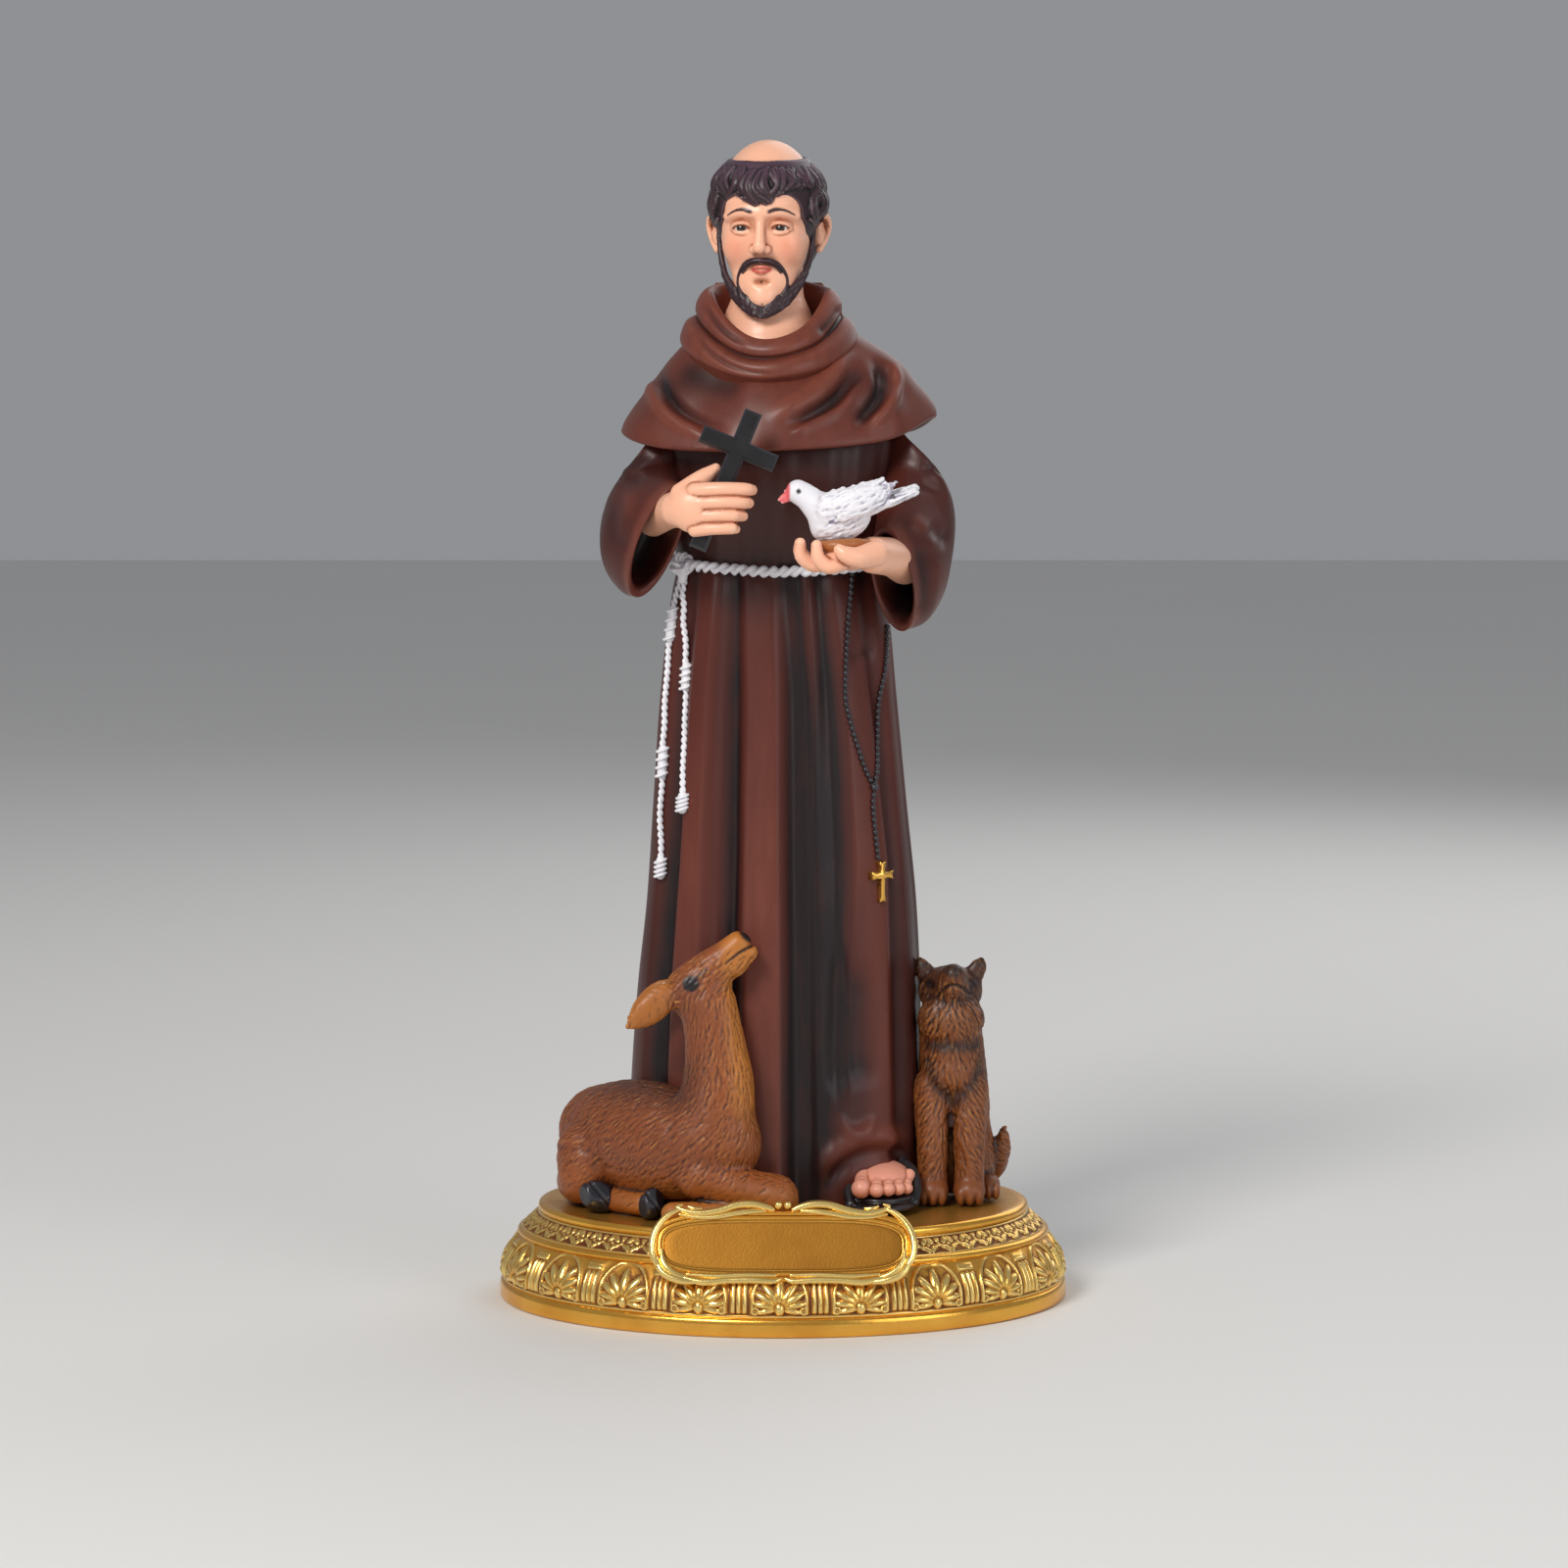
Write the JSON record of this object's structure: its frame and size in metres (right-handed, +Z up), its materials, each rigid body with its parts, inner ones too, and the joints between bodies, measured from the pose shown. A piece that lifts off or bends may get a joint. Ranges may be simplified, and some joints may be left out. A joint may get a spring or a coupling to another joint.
{
  "type": "saint francis statue",
  "caption": "Painted resin statue of a friar saint holding a cross and a dove, with a lying deer and a sitting dog, on a gilt oval plinth with a bare name plate.",
  "frame": {"origin": "centre of the plinth's underside", "axes": "+Z up, the statue faces -Y, +X to the viewer's right"},
  "size_m": [0.148, 0.1152, 0.3004],
  "materials": {
    "gilt": "gold paint over cast relief, dark wash in the recesses",
    "habit_brown": "satin brown paint, near-black wash in the folds; the cast head and hands are flesh colour",
    "deer_tan": "satin ochre-brown paint over carved fur",
    "dog_brown": "satin brown paint with a near-black mane",
    "dove_white": "white paint with a grey wash",
    "cross_black": "satin near-black paint"
  },
  "bodies": {
    "root": {"plinth": "gilt", "saint": "habit_brown", "deer": "deer_tan", "dog": "dog_brown", "dove": "dove_white", "hand_cross": "cross_black"}
  },
  "joints": []
}
